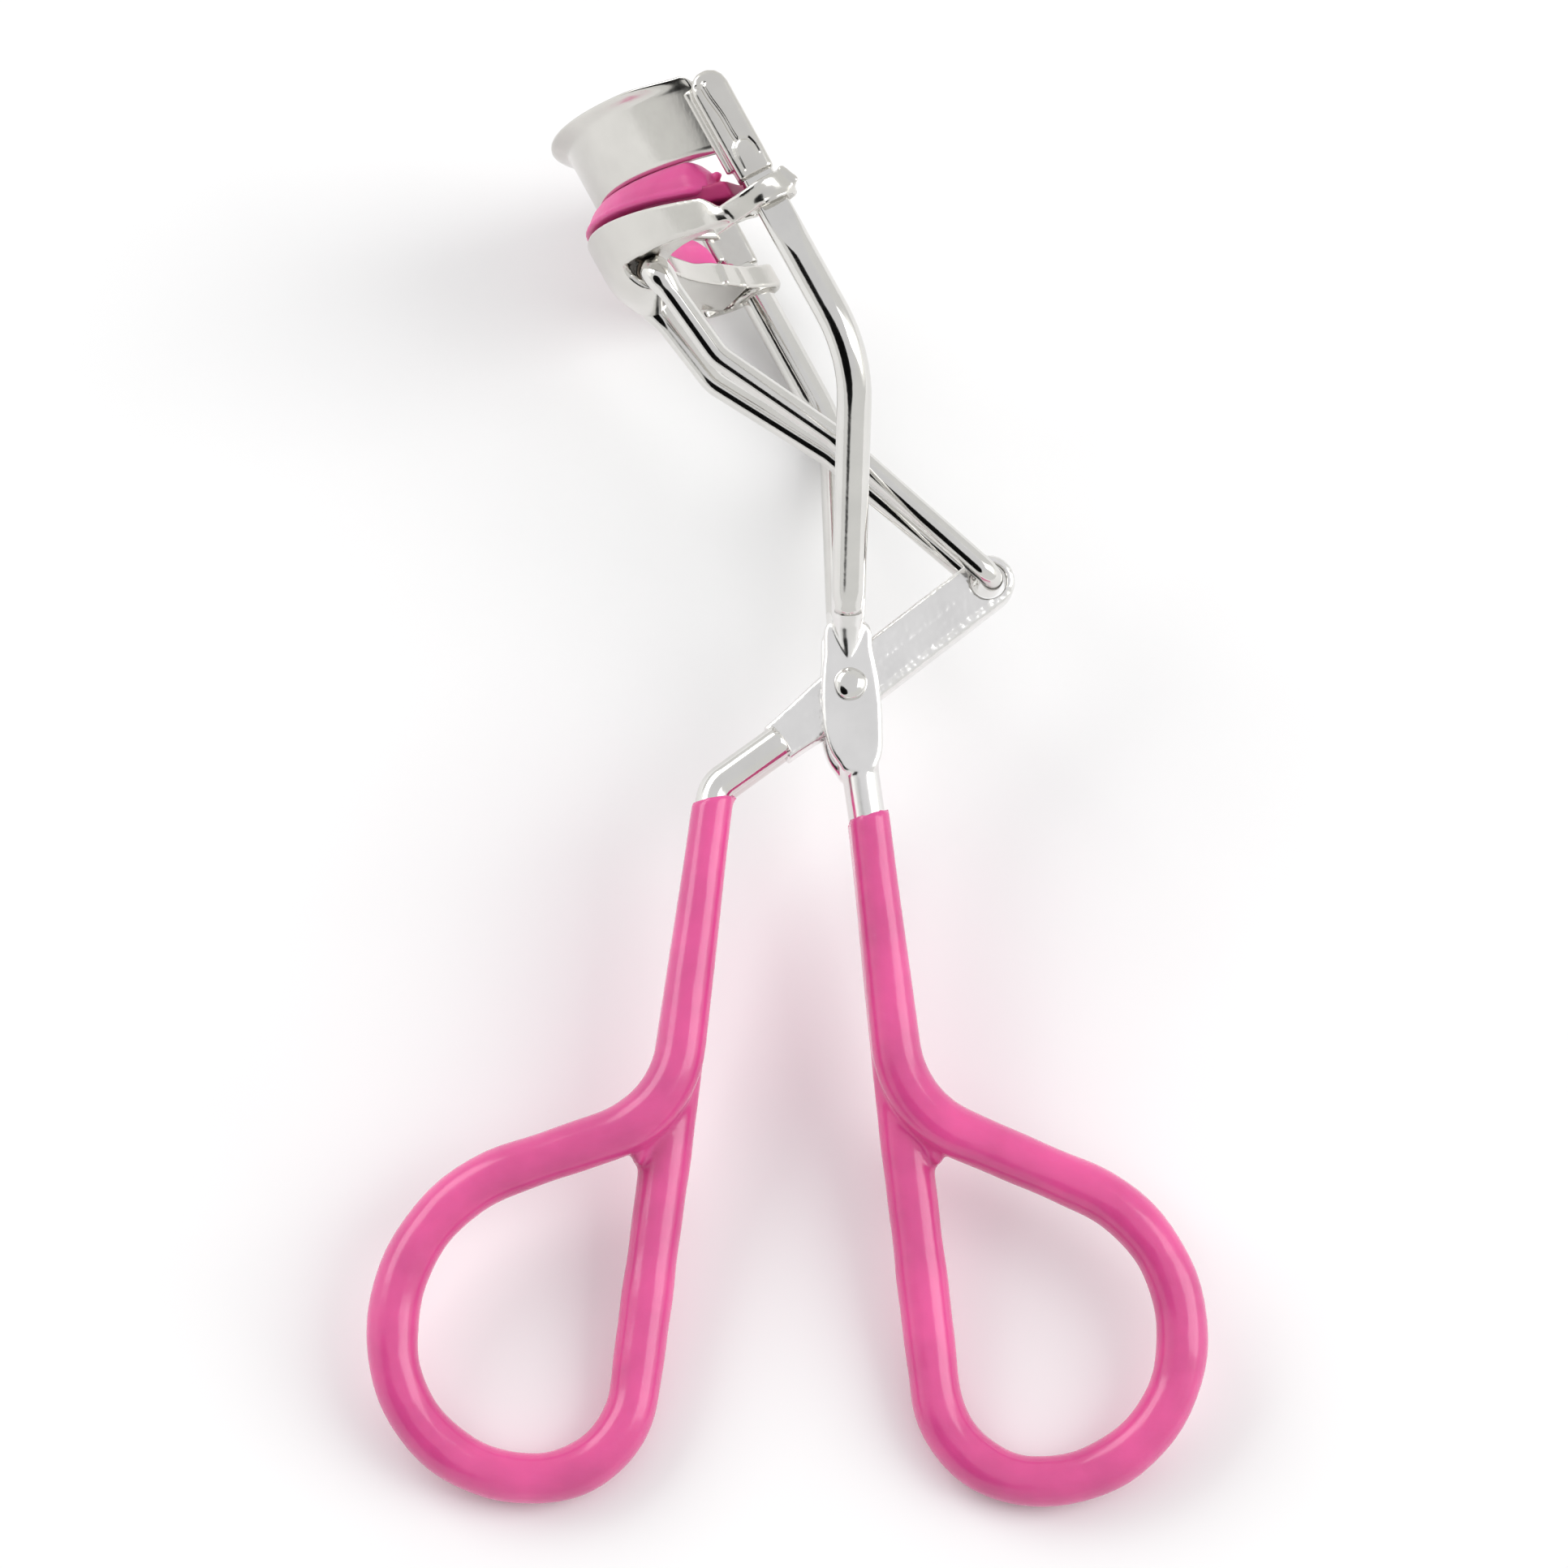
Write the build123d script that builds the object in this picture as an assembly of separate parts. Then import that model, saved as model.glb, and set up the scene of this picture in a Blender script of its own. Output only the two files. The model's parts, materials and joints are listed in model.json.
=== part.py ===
from build123d import *
import math
import os

os.makedirs("parts", exist_ok=True)

# All sizes are in millimetres. The curler is built in its working plane: the rivet's axis is Z, the
# head is towards +Y and the finger loops are towards -Y. It is laid on its side at the end.

# Wire stock
wire_radius = 1.25
leg_half_gap = 1.28
pusher_radius = 0.87

# Rails and head
rail_angle = 28.5
rail_half_gap = 15.0
rail_origin = (-1.375, 23.96)
rail_bend_height = 21.8
rail_bend_radius = 9.0
rail_round_end = 12.3
rail_tip_end = 20.1
tip_width = 1.85
tip_thickness = 1.4
facet_start = 6.2
facet_depth = 0.35

# Pivot
plate_inner = 1.5
plate_thickness = 1.3
rivet_radius = 0.8
rivet_clearance = 0.05
rivet_head_radius = 1.2
rivet_head_height = 0.75

# Lever bar
bar_angle = 38.06
bar_half_width = 1.95
bar_step_half_width = 1.5
bar_step_distance = 6.5
bar_half_thickness = 1.4
hole_distance = 12.94
hole_radius = 1.35
lever_leg_bend = (-9.82, -7.45)
lever_leg_bend_radius = 3.0

# Handles: neck, crotch corner, then the corners round the loop, with their bend radii
right_neck = (0.85, -4.3)
right_corners = [(3.87, -30.9), (24.0, -39.45), (24.0, -57.55), (7.0, -57.55)]
right_radii = [8.0, 11.5, 10.2, 7.4]
left_corners = [(-12.85, -31.3), (-32.88, -38.2), (-32.88, -57.4), (-16.26, -57.4)]
left_radii = [8.0, 12.5, 9.9, 7.15]
loop_depths = [1.28, 0.9, 0.0, -0.9]

# Vinyl grips
grip_leg_radius = 1.7
grip_loop_radius = 1.93
right_grip_top = -9.4
left_grip_top = -8.9
sheath_overlap = 3.0

# Jaws: arcs about one axis parallel to the rails, with edges that rise towards the front
jaw_centre = -7.0
jaw_slope = 0.386
upper_outer_radius = 16.3
sheet = 0.8
upper_bottom = 14.9
upper_top = 21.3
lip_slope = 0.3
lip_height = 1.2
lip_flare = 0.9
upper_half_angle = 59.0
sleeve_bottom = 12.35
sleeve_top = 20.85
sleeve_wall = 0.45

channel_outer_radius = 18.3
channel_inner_radius = 13.6
channel_sheet = 0.7
channel_bottom_outer = 8.9
channel_bottom_inner = 10.1
channel_top = 10.75
channel_top_slope = 0.54
channel_half_angle = 55.0
collar_bottom = 9.9
collar_top = 11.9
rail_clearance = 0.15
collar_wall = 0.55

# Hinge barrel
barrel_front = 8.5
barrel_height = 11.75
barrel_half_length = 4.45
barrel_outer_radius = 1.5
barrel_bore_radius = 0.93
tongue_half_width = 4.45

# Pad
pad_clearance = 0.1
pad_head_overhang = 0.45
pad_crown_gap = 0.08
pad_stem_half_angle = 51.0
pad_head_half_angle = 54.5

# Pusher wire
pusher_top_half_gap = 5.6
pusher_end_half_gap = 2.45
pusher_first_bend = (-9.74, 23.85)
pusher_second_bend = (-1.2, 18.2)
pusher_bend_radius = 3.4
pusher_hole_offset = (0.2, 0.1)
pusher_top_radius = 0.95
pusher_u_radius = 1.2

# Lying on its side the curler rests on the far rail's bend and on both finger loops
lie_angle = 9.5


def rail_direction():
    """Unit vector up the rails."""
    angle = math.radians(rail_angle)
    return Vector(-math.sin(angle), math.cos(angle), 0)


def head_plane():
    """Plane whose X points to the jaws' front, Y along the rivet's axis and Z up the rails."""
    angle = math.radians(rail_angle)
    front = (-math.cos(angle), -math.sin(angle), 0)
    return Plane(origin=(*rail_origin, 0), x_dir=front, z_dir=rail_direction())


head = head_plane()


def on_head(front, depth, height):
    """Point of the head's own axes, in the working frame."""
    return head.from_local_coords(Vector(front, depth, height))


def bent_wire(points, radii, radius):
    """Round wire along straight runs joined by tangent bends."""
    path = FilletPolyline(*points, radius=radii)
    section = Plane(origin=path @ 0, z_dir=path % 0) * Circle(radius)
    return sweep(section, path=path)


def bar_point(along, across=0.0):
    """Point of the lever bar's centre line, measured from the pivot towards the hole."""
    angle = math.radians(bar_angle)
    x = along * math.cos(angle) - across * math.sin(angle)
    y = along * math.sin(angle) + across * math.cos(angle)
    return (x, y)


def loop_points(start, corners, end):
    """Corners of one handle's wire, from the near leg's top round the loop to the far leg's top."""
    points = [(*start, leg_half_gap)]
    for corner, depth in zip(corners, loop_depths):
        points.append((*corner, depth))
    points.append((*end, -leg_half_gap))
    return points


def mirrored(shape):
    """The same shape on the far side of the working plane."""
    return shape.mirror(Plane.XY)


def pivot_plate():
    """Oval stamped plate of the near side, with the rivet's hole."""
    right_edge = Spline((1.15, 4.3), (1.75, 2.2), (2.3, -1.6), (2.15, -4.4), (1.8, -5.7))
    left_edge = Spline((-0.5, -5.7), (-1.2, -4.6), (-2.05, -1.6), (-1.95, 1.6), (-1.6, 4.3))
    outline = [right_edge, Line(right_edge @ 1, left_edge @ 0), left_edge, Line(left_edge @ 1, right_edge @ 0)]
    plate = extrude(Plane.XY.offset(plate_inner) * make_face(Wire(outline)), amount=plate_thickness)
    bore = Cylinder(rivet_radius + rivet_clearance, 10)
    return plate - bore


def rail(depth_sign):
    """One leg of the frame above its pivot plate: the splayed run, the bend and the rail."""
    foot = Vector(-0.2, 3.3, 2.35)
    bend = Vector(-0.2, rail_bend_height, rail_half_gap)
    top = on_head(0, rail_half_gap, rail_round_end)
    wire = bent_wire([foot, bend, top], [rail_bend_radius], wire_radius)
    facet_cutter = Pos(0, rail_half_gap + wire_radius - facet_depth + 2, facet_start + 10) * Box(6, 4, 20)
    wire = wire - head.location * facet_cutter
    tip_length = rail_tip_end - rail_round_end + 0.2
    tip = Pos(0, rail_half_gap, rail_tip_end - tip_length / 2) * Box(tip_width, tip_thickness, tip_length)
    wire = wire + head.location * tip
    return wire if depth_sign > 0 else mirrored(wire)


def make_frame_wire():
    """Right loop, legs, pivot plates and rails, all one wire."""
    handle = bent_wire(loop_points(right_neck, right_corners, right_neck), right_radii, wire_radius)
    near = pivot_plate()
    return handle + near + mirrored(near) + rail(1) + rail(-1)


def make_lever_wire():
    """Left loop, legs and the flattened bar with the pusher's hole."""
    step = bar_point(-bar_step_distance + 0.6)
    start = (*step, leg_half_gap)
    bend = (*lever_leg_bend, leg_half_gap)
    points = [start, bend]
    for corner, depth in zip(left_corners, loop_depths):
        points.append((*corner, depth))
    points.append((*lever_leg_bend, -leg_half_gap))
    points.append((*step, -leg_half_gap))
    radii = [lever_leg_bend_radius, *left_radii, lever_leg_bend_radius]
    handle = bent_wire(points, radii, wire_radius)
    taper = Polyline(
        (-bar_step_distance, -bar_step_half_width),
        (-1.5, -bar_half_width),
        (hole_distance, -bar_half_width),
        (hole_distance, bar_half_width),
        (-1.5, bar_half_width),
        (-bar_step_distance, bar_step_half_width),
        close=True,
    )
    outline = make_face(taper) + Pos(hole_distance, 0) * Circle(bar_half_width)
    bar = extrude(outline, amount=bar_half_thickness, both=True)
    bar = Rot(0, 0, bar_angle) * bar
    hole = Pos(*bar_point(hole_distance), 0) * Cylinder(hole_radius, 10)
    bore = Cylinder(rivet_radius + rivet_clearance, 10)
    return handle + bar - hole - bore


def make_grip(wire, corners, radii, leg_top, slope, top_x):
    """Vinyl coating: a sheath over the paired legs and a sleeve round the loop, hollow for the wire."""
    sheath_bottom = corners[0][1] + sheath_overlap
    bottom_x = top_x + slope * (leg_top - sheath_bottom)
    slot = SlotCenterToCenter(2 * leg_half_gap, 2 * grip_leg_radius, rotation=90)
    axis = Vector(bottom_x - top_x, sheath_bottom - leg_top, 0)
    section = Plane(origin=(top_x, leg_top, 0), x_dir=(axis.Y, -axis.X, 0), z_dir=axis) * slot
    sheath = extrude(section, amount=axis.length)
    start = (bottom_x - slope * sheath_overlap, sheath_bottom + sheath_overlap)
    points = [Vector(point) for point in loop_points(start, corners, start)]
    share = radii[2] / (points[4] - points[3]).length + 0.005
    seam = points[3] + (points[4] - points[3]) * share
    near_half = bent_wire(points[:4] + [seam], radii[:3], grip_loop_radius)
    far_half = bent_wire([seam] + points[4:], radii[3:], grip_loop_radius)
    return sheath + near_half + far_half - wire


def revolved(profile, half_angle, slope=jaw_slope):
    """Profile of the XZ plane turned about the jaws' axis, then sloped so that its front stands higher."""
    axis = Axis((jaw_centre, 0, 0), (0, 0, 1))
    solid = revolve(profile, axis=axis, revolution_arc=2 * half_angle)
    solid = solid.rotate(axis, -half_angle)
    shear = Matrix([[1, 0, 0, 0], [0, 1, 0, 0], [slope, 0, 1, 0]])
    return solid.transform_geometry(shear)


def profile_face(points):
    """Face in the XZ plane from (radius, height) points."""
    corners = []
    for radius, height in points:
        corners.append((jaw_centre + radius, 0, height))
    return make_face(Polyline(*corners, close=True))


def sleeve():
    """Crimped sleeve round the near rail's tip, with its seam slit and the open lower end."""
    width = tip_width + 2 * sleeve_wall
    thickness = tip_thickness + 2 * sleeve_wall
    length = sleeve_top - sleeve_bottom
    middle = (sleeve_top + sleeve_bottom) / 2
    outer = Pos(0, rail_half_gap, middle) * Box(width, thickness, length)
    outer = fillet(outer.edges().filter_by(Axis.Y).group_by(Axis.Z)[-1], 1.2)
    hollow = Pos(0, rail_half_gap, sleeve_bottom - 1 + (rail_tip_end - sleeve_bottom + 1) / 2)
    hollow = hollow * Box(tip_width, tip_thickness, rail_tip_end - sleeve_bottom + 1)
    slit = Pos(0, rail_half_gap + thickness / 2, middle + 1) * Box(0.35, 2 * sleeve_wall, length * 0.6)
    return outer - hollow - slit


def ring_beyond(inner, outer, start, end, slope):
    """Solid ring wider than a jaw's wall, used to trim one of its edges to a slope."""
    profile = profile_face([(inner - 2, start), (outer + 3, start), (outer + 3, end), (inner - 2, end)])
    return revolved(profile, 80, slope)


def make_upper_jaw():
    """Curved sheet with a flared lip and a sleeve at each end."""
    outer = upper_outer_radius
    inner = outer - sheet
    wall = profile_face(
        [
            (inner, upper_bottom - 2),
            (outer, upper_bottom - 2),
            (outer, upper_top - lip_height),
            (outer + lip_flare, upper_top),
            (outer + lip_flare - sheet, upper_top),
            (inner, upper_top - lip_height),
        ]
    )
    near = sleeve()
    far = near.mirror(Plane.XZ)
    jaw = revolved(wall, upper_half_angle, lip_slope)
    jaw = jaw - ring_beyond(inner, outer, upper_bottom - 8, upper_bottom, jaw_slope)
    jaw = jaw - Pos(0, rail_half_gap, 15) * Box(tip_width, tip_thickness, 40)
    jaw = jaw - Pos(0, -rail_half_gap, 15) * Box(tip_width, tip_thickness, 40)
    return head.location * (jaw + near + far)


def channel():
    """Outer wall, sloping web and inner wall of the lower jaw."""
    outer = channel_outer_radius
    inner = channel_inner_radius
    wall_top = channel_top + 3
    outside = profile_face(
        [
            (inner, channel_bottom_inner),
            (outer, channel_bottom_outer),
            (outer, wall_top),
            (outer - channel_sheet, wall_top),
            (outer - channel_sheet, channel_bottom_outer + 1.0),
            (inner + channel_sheet, channel_bottom_inner + 0.8),
            (inner + channel_sheet, wall_top),
            (inner, wall_top),
        ]
    )
    walls = revolved(outside, channel_half_angle)
    return walls - ring_beyond(inner, outer, channel_top, channel_top + 9, channel_top_slope)


def strap(start, end):
    """Flat run of sheet that joins a wall's end to the collar, from one (front, depth) point to another."""
    run = Vector(end[0] - start[0], end[1] - start[1], 0)
    side = Vector(-run.Y, run.X, 0).normalized() * channel_sheet / 2
    corners = []
    for point, sign in ((start, 1), (end, 1), (end, -1), (start, -1)):
        corners.append((point[0] + sign * side.X, point[1] + sign * side.Y, collar_bottom))
    outline = make_face(Polyline(*corners, close=True))
    return extrude(outline, amount=collar_top - collar_bottom, dir=(0, 0, 1))


def collar():
    """Near collar: a band round the rail, with the two straps that carry on the channel's walls."""
    inside = wire_radius + rail_clearance
    height = collar_top - collar_bottom
    middle = (collar_top + collar_bottom) / 2
    size = 2 * (inside + collar_wall)
    band = Pos(0, rail_half_gap, middle) * Box(size, size, height)
    band = fillet(band.edges().filter_by(Axis.Z), 0.8)
    outer_strap = strap((3.9, 13.9), (1.3, 16.8))
    inner_strap = strap((1.4, 10.6), (-1.6, 13.3))
    return band + outer_strap + inner_strap


def make_lower_jaw():
    """Channel, collars, tongue and hinge barrel."""
    jaw = channel()
    near = collar()
    jaw = jaw + near + near.mirror(Plane.XZ)
    front = jaw_centre + channel_outer_radius
    edge_height = channel_bottom_outer + jaw_slope * front
    barrel_low = (barrel_front + barrel_outer_radius * 0.55, barrel_height - barrel_outer_radius * 0.8)
    tongue = Polyline(
        (front - channel_sheet, 0, edge_height + 0.4),
        (front - 0.05, 0, edge_height + 0.4),
        (front - 0.35, 0, edge_height - 1.4),
        (barrel_low[0], 0, barrel_low[1]),
        (barrel_low[0] - 0.1, 0, barrel_low[1] + 0.7),
        close=True,
    )
    jaw = jaw + extrude(make_face(tongue), amount=tongue_half_width, both=True)
    barrel = Pos(barrel_front, 0, barrel_height) * Rot(90, 0, 0)
    jaw = jaw + barrel * Cylinder(barrel_outer_radius, 2 * barrel_half_length)
    jaw = jaw - barrel * Cylinder(barrel_bore_radius, 4 * barrel_half_length)
    bore = Pos(0, rail_half_gap, 0) * Cylinder(wire_radius + rail_clearance, 60)
    jaw = jaw - bore - bore.mirror(Plane.XZ)
    return head.location * jaw


def make_lash_pad():
    """Silicone pad: a stem in the channel and a crowned head above its walls."""
    stem_inner = channel_inner_radius + channel_sheet + pad_clearance
    stem_outer = channel_outer_radius - channel_sheet - pad_clearance
    stem_bottom = channel_bottom_inner + 0.9
    stem_top = channel_top + 3
    crown_radius = upper_outer_radius - sheet / 2
    crown = upper_bottom - pad_crown_gap
    stem = revolved(
        profile_face(
            [(stem_inner, stem_bottom), (stem_outer, stem_bottom), (stem_outer, stem_top), (stem_inner, stem_top)]
        ),
        pad_stem_half_angle,
    )
    head_inner = stem_inner - pad_head_overhang
    head_outer = stem_outer + pad_head_overhang
    whole = profile_face(
        [
            (head_inner, stem_bottom - 1),
            (head_outer, stem_bottom - 1),
            (head_outer, crown - 2.2),
            (crown_radius + 1.55, crown - 1.0),
            (crown_radius + 0.8, crown - 0.25),
            (crown_radius + 0.3, crown),
            (crown_radius - 0.5, crown),
            (crown_radius - 1.1, crown - 0.25),
            (head_inner, crown - 1.5),
        ]
    )
    below = ring_beyond(stem_inner, stem_outer, channel_top - 9, channel_top + pad_clearance, channel_top_slope)
    return head.location * (revolved(whole, pad_head_half_angle) - (below - stem))


def barrel_point(depth):
    """Point of the barrel's axis, in the working frame."""
    return on_head(barrel_front, depth, barrel_height)


def make_pusher_wire():
    """Link wire: in at one end of the barrel, down through the lever's hole and back to the other end."""
    hole = bar_point(hole_distance)
    end = (hole[0] + pusher_hole_offset[0], hole[1] + pusher_hole_offset[1])
    top = barrel_point(pusher_top_half_gap)
    leg_top = pusher_top_half_gap
    near = [
        (top.X, top.Y, 0.6),
        (top.X, top.Y, leg_top),
        (*pusher_first_bend, leg_top - 1.0),
        (*pusher_second_bend, leg_top - 2.2),
        (*end, pusher_end_half_gap),
    ]
    far = []
    for x, y, z in reversed(near):
        far.append((x, y, -z))
    bends = [pusher_top_radius, pusher_bend_radius, pusher_bend_radius, pusher_u_radius]
    return bent_wire(near + far, bends + bends[::-1], pusher_radius)


def make_pivot_rivet():
    """Shank with a domed head at each end."""
    shoulder = plate_inner + plate_thickness
    shank = Cylinder(rivet_radius, 2 * shoulder)
    ball = (rivet_head_radius**2 + rivet_head_height**2) / (2 * rivet_head_height)
    dome = Pos(0, 0, shoulder + rivet_head_height - ball) * Sphere(ball)
    dome = dome & Pos(0, 0, shoulder + 1) * Cylinder(rivet_head_radius, 2)
    return shank + dome + mirrored(dome)


def leg_slope(top, corner):
    """How far a handle leg moves in X for each millimetre that it goes down."""
    return (corner[0] - top[0]) / (top[1] - corner[1])


frame_wire = make_frame_wire()
lever_wire = make_lever_wire()
right_slope = leg_slope(right_neck, right_corners[0])
right_top_x = right_neck[0] + right_slope * (right_neck[1] - right_grip_top)
right_grip = make_grip(frame_wire, right_corners, right_radii, right_grip_top, right_slope, right_top_x)
left_slope = leg_slope(lever_leg_bend, left_corners[0])
left_top_x = lever_leg_bend[0] + left_slope * (lever_leg_bend[1] - left_grip_top)
left_grip = make_grip(lever_wire, left_corners, left_radii, left_grip_top, left_slope, left_top_x)

pieces = {
    "frame_wire": frame_wire,
    "right_grip": right_grip,
    "upper_jaw": make_upper_jaw(),
    "pivot_rivet": make_pivot_rivet(),
    "lever_wire": lever_wire,
    "left_grip": left_grip,
    "lower_jaw": make_lower_jaw(),
    "lash_pad": make_lash_pad(),
    "pusher_wire": make_pusher_wire(),
}

tipped = {}
for name, shape in pieces.items():
    tipped[name] = Rot(lie_angle, 0, 0) * shape
boxes = [shape.bounding_box() for shape in tipped.values()]
middle_x = (min(box.min.X for box in boxes) + max(box.max.X for box in boxes)) / 2
middle_y = (min(box.min.Y for box in boxes) + max(box.max.Y for box in boxes)) / 2
lowest = min(box.min.Z for box in boxes)
rest = Pos(-middle_x, -middle_y, -lowest)

for name, shape in tipped.items():
    export_step(rest * shape, "parts/" + name + ".step")
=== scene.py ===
import json
import math

import bmesh
import bpy
import numpy as np
from mathutils import Matrix, Vector


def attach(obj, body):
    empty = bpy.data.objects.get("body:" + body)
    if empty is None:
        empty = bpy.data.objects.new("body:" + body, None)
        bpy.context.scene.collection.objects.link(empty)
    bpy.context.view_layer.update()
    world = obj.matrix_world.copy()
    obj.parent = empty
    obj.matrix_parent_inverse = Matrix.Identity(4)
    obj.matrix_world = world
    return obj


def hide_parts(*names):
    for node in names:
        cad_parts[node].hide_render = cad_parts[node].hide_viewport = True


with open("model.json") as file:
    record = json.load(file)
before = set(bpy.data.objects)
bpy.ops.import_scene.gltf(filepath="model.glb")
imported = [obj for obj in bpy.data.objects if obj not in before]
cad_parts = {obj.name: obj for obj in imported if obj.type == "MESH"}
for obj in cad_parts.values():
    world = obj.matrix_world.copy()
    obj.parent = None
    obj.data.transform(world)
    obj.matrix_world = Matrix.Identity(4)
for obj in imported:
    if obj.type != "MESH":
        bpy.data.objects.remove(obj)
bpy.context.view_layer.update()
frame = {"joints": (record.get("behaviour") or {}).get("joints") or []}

# Shapes are written in millimetres in the tool's own axes: X to the side, Y towards the jaws and Z
# along the rivet, with the pivot at the origin. to_row carries them into the row frame.
MM = 0.001
pivot_joint = [joint for joint in frame["joints"] if joint["name"] == "lever_pivot"][0]
pivot = np.array(pivot_joint["pos_m"], float)
depth_axis = -np.array(pivot_joint["axis"], float)
depth_axis /= np.linalg.norm(depth_axis)
side_axis = np.array([1.0, 0.0, 0.0])
long_axis = np.cross(depth_axis, side_axis)
tool_axes = np.stack([side_axis, long_axis, depth_axis])

# Driving sizes, as in the CAD model
WIRE = 1.25
LEG_GAP = 1.28
PUSHER = 0.87
RAIL_ANGLE = math.radians(28.5)
RAIL_GAP = 15.0
RAIL_ORIGIN = (-1.375, 23.96)
BAR_ANGLE = math.radians(38.06)
HOLE_DISTANCE = 12.94
JAW_CENTRE = -7.0
JAW_SLOPE = 0.386
LIP_SLOPE = 0.3
WALL_TOP_SLOPE = 0.54

RIGHT_NECK = (0.85, -4.3)
RIGHT_CORNERS = [(3.87, -30.9), (24.0, -39.45), (24.0, -57.55), (7.0, -57.55)]
RIGHT_RADII = [8.0, 11.5, 10.2, 7.4]
LEFT_NECK = (-9.82, -7.45)
LEFT_CORNERS = [(-12.85, -31.3), (-32.88, -38.2), (-32.88, -57.4), (-16.26, -57.4)]
LEFT_RADII = [8.0, 12.5, 9.9, 7.15]
LOOP_DEPTHS = [1.28, 0.9, 0.0, -0.9]


def to_row(points):
    return pivot + MM * np.asarray(points, float) @ tool_axes


def head_points(front, depth, height):
    """Tool coordinates of points given in the head's axes: front of the jaws, depth, along the rails."""
    front, depth, height = np.broadcast_arrays(front, depth, height)
    x = RAIL_ORIGIN[0] - math.cos(RAIL_ANGLE) * front - math.sin(RAIL_ANGLE) * height
    y = RAIL_ORIGIN[1] - math.sin(RAIL_ANGLE) * front + math.cos(RAIL_ANGLE) * height
    return np.stack([x, y, np.asarray(depth, float)], -1)


def unit(v):
    v = np.asarray(v, float)
    return v / np.linalg.norm(v, axis=-1, keepdims=True)


def smoothstep(x, lo, hi):
    t = np.clip((np.asarray(x, float) - lo) / (hi - lo), 0, 1)
    return t * t * (3 - 2 * t)


# ---------------------------------------------------------------- paths and shells


def bent_path(points, radii, step=0.5):
    """Points along straight runs joined by tangent arcs."""
    points = [np.array(p, float) for p in points]
    out = [points[0]]
    for i in range(1, len(points) - 1):
        before = unit(points[i] - points[i - 1])
        after = unit(points[i + 1] - points[i])
        turn = math.acos(float(np.clip(before @ after, -1, 1)))
        radius = radii[i - 1]
        cut = radius * math.tan(turn / 2)
        start = points[i] - before * cut
        side = unit(after - before * (after @ before))
        centre = start + side * radius
        straight(out, start, step)
        count = max(int(math.degrees(turn) / 5), 3)
        for k in range(1, count + 1):
            a = turn * k / count
            out.append(centre - side * radius * math.cos(a) + before * radius * math.sin(a))
    straight(out, points[-1], step)
    return np.array(out)


def straight(out, end, step):
    start = out[-1]
    count = max(int(np.linalg.norm(end - start) / step), 1)
    for k in range(1, count + 1):
        out.append(start + (end - start) * k / count)


def path_frames(path, ref=None):
    """Tangent, up and side vectors along a path: up leans to ref, or is carried along without twist."""
    tangent = unit(np.gradient(path, axis=0))
    ups = []
    up = np.array(ref if ref is not None else (0.3, 0.2, 1.0), float)
    for t in tangent:
        base = np.array(ref, float) if ref is not None else up
        up = unit(base - t * (base @ t))
        ups.append(up)
    ups = np.array(ups)
    return tangent, ups, np.cross(tangent, ups)


def sweep(path, outline, ref=None, caps=(0.0, 0.0)):
    """Closed shell along a path. outline(i) gives side and up offsets; caps round the two ends."""
    tangent, ups, sides = path_frames(path, ref)
    rings = []
    for i, p in enumerate(path):
        o = outline(i)
        rings.append(p + np.outer(o[:, 0], sides[i]) + np.outer(o[:, 1], ups[i]))
    rings = cap_rings(path[0], -tangent[0], rings[0], caps[0])[::-1] + rings
    rings = rings + cap_rings(path[-1], tangent[-1], rings[-1], caps[1])
    return loft(rings)


def cap_rings(centre, direction, ring, bulge):
    """Shrinking rings that round a tube's end off, bulge being how far they reach."""
    if bulge <= 0:
        return []
    out = []
    for a in np.radians([20, 40, 60, 78]):
        out.append(centre + direction * bulge * math.sin(a) + (ring - centre) * math.cos(a))
    return out


def loft(rings, wrap=False):
    """Shell through closed rings, with flat ends unless it wraps round."""
    rings = np.array(rings)
    count, size = rings.shape[:2]
    faces = []
    last = count if wrap else count - 1
    for i in range(last):
        j = (i + 1) % count
        for k in range(size):
            m = (k + 1) % size
            faces.append((i * size + k, i * size + m, j * size + m, j * size + k))
    if not wrap:
        faces.append(tuple(range(size))[::-1])
        faces.append(tuple(range((count - 1) * size, count * size)))
    return rings.reshape(-1, 3), faces


def round_outline(radius, sides=40):
    a = np.linspace(0, 2 * math.pi, sides, endpoint=False)
    return np.stack([np.cos(a), np.sin(a)], -1) * radius


def round_wire(points, radii, radius, caps=(0.0, 0.0), ref=None, step=0.5):
    ring = round_outline(radius)
    return sweep(bent_path(points, radii, step), lambda i: ring, ref, caps)


def rounded_box(half_x, half_y, corner, per=5):
    """Outline of a rectangle with rounded corners."""
    out = []
    for sx, sy, start in ((1, 1, 0), (-1, 1, 90), (-1, -1, 180), (1, -1, 270)):
        for a in np.radians(np.linspace(start, start + 90, per)):
            x = sx * (half_x - corner) + corner * math.cos(a)
            y = sy * (half_y - corner) + corner * math.sin(a)
            out.append((x, y))
    return np.array(out)


def slab(outline, low, high, place=lambda p: p):
    """Closed shell of an outline between two depths."""
    rings = []
    for z in (low, high):
        ring = np.column_stack([outline, np.full(len(outline), z)])
        rings.append(place(ring))
    return loft(rings)


# ---------------------------------------------------------------- objects


def make_object(name, verts, faces, body, material, slot_name, nodes=()):
    mesh = bpy.data.meshes.new(name)
    mesh.from_pydata(to_row(verts).tolist(), [], [tuple(f) for f in faces])
    tidy_normals(mesh)
    return place_object(name, mesh, body, material, nodes)


def tidy_normals(mesh):
    bm = bmesh.new()
    bm.from_mesh(mesh)
    bmesh.ops.recalc_face_normals(bm, faces=bm.faces)
    bm.to_mesh(mesh)
    bm.free()


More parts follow.
